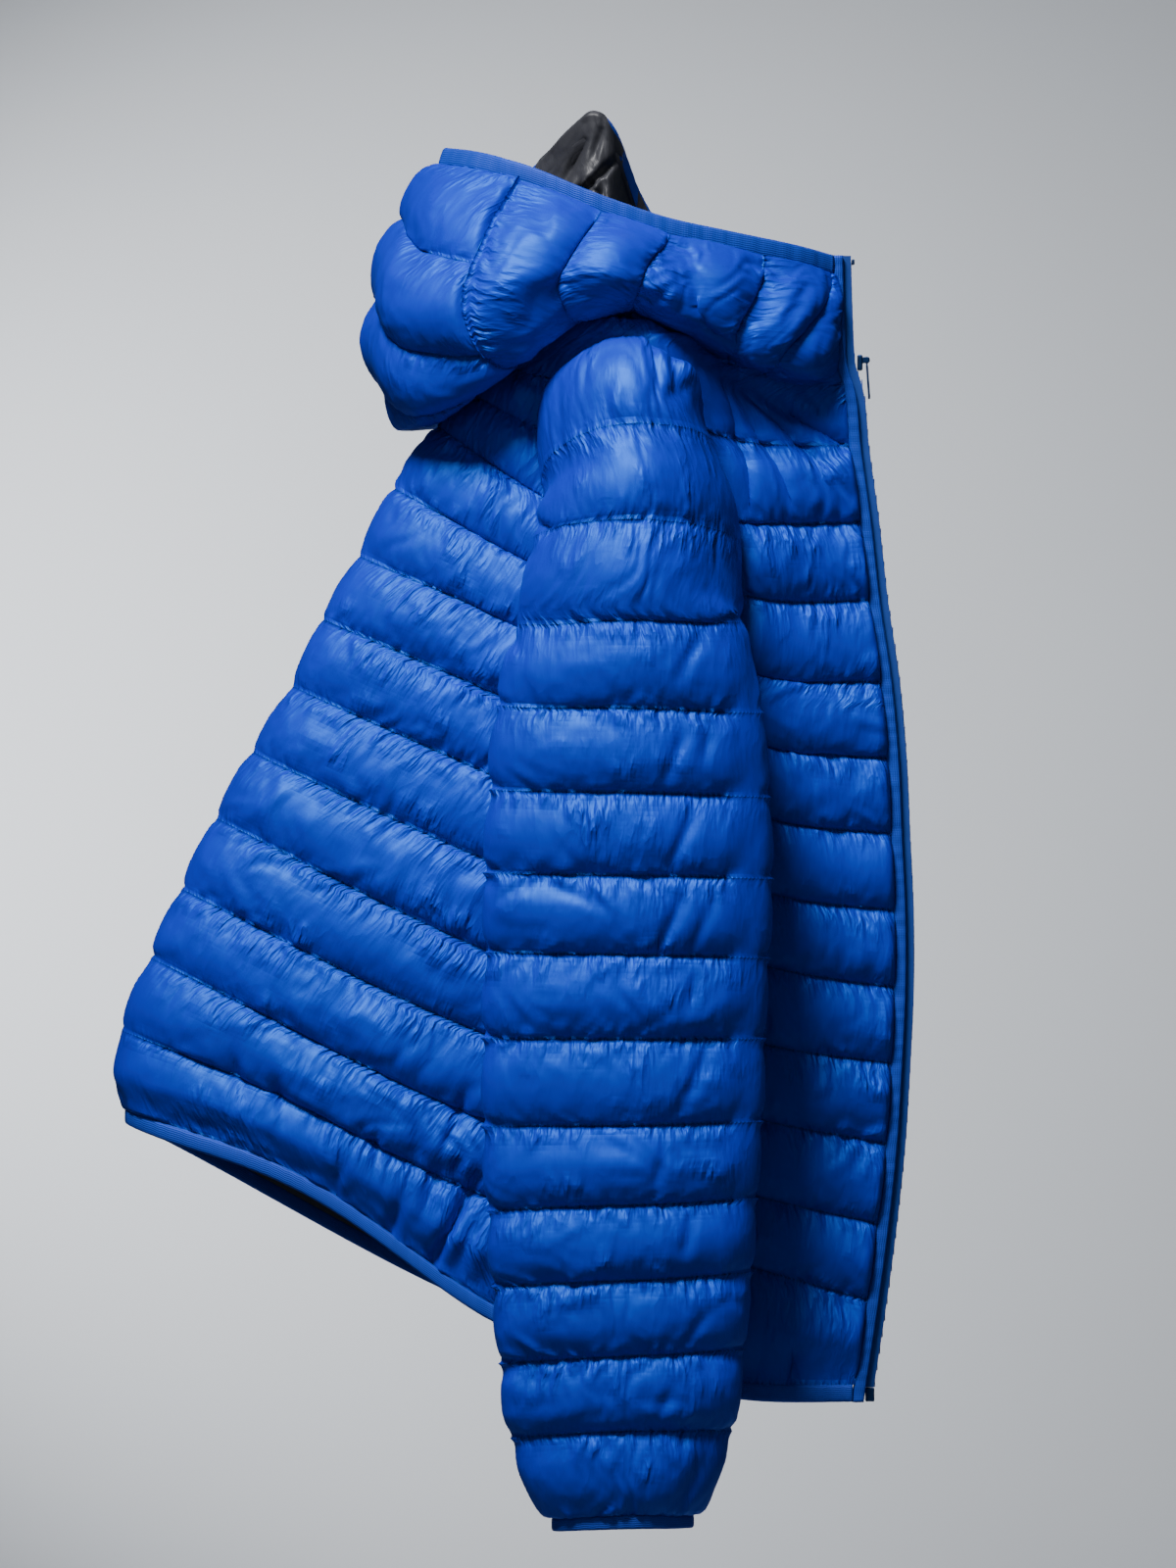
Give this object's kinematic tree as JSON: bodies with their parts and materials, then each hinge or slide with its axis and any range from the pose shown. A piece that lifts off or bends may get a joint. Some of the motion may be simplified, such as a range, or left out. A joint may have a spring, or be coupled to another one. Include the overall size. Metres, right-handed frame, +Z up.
{
  "type": "hooded puffer jacket",
  "caption": "Lightweight quilted down jacket with a hood and full front zip, zipped up, folded at its centre back and hanging from one point of the hood rim.",
  "frame": {"origin": "tip of the hood rim on the wearer's left, where a hand pinches it and the jacket hangs", "axes": "+Z up; the front zip runs down the +X edge and the folded centre back down the -X edge; the wearer's right side faces -Y"},
  "size_m": [0.463, 0.2544, 0.8212],
  "materials": {
    "shell": "thin glossy quilted nylon over down",
    "lining": "thin satin lining",
    "binding": "ribbed stretch edge binding",
    "tape": "woven zip tape",
    "teeth": "moulded coil zip teeth",
    "metal": "dark satin zip metal"
  },
  "bodies": {
    "garment": {"back_upper": "shell", "back_middle": "shell", "back_lower": "shell", "front_right": "shell", "front_left": "shell", "sleeve_right_head": "shell", "sleeve_right_arm": "shell", "sleeve_right_forearm": "shell", "sleeve_left_head": "shell", "sleeve_left_arm": "shell", "sleeve_left_forearm": "shell", "hood_centre": "shell", "hood_side_right": "shell", "hood_side_left": "shell", "hood_binding": "binding", "hem_binding": "binding", "cuff_right": "binding", "cuff_left": "binding", "placket_right": "binding", "placket_left": "binding", "zip_tape_right": "tape", "zip_tape_left": "tape", "zip_teeth": "teeth", "zip_teeth_right": "teeth", "zip_teeth_left": "teeth", "zip_slider": "metal", "zip_box": "metal", "zip_stop_right": "metal", "zip_stop_left": "metal"},
    "zip_pull": {"zip_pull": "metal"}
  },
  "joints": [
    {"name": "zip_pull_swing", "type": "hinge", "parent": "garment", "child": "zip_pull", "pos_m": [0.1603, 0, -0.1455], "axis": [0, -1, 0], "range_deg": [0, 170]}
  ]
}
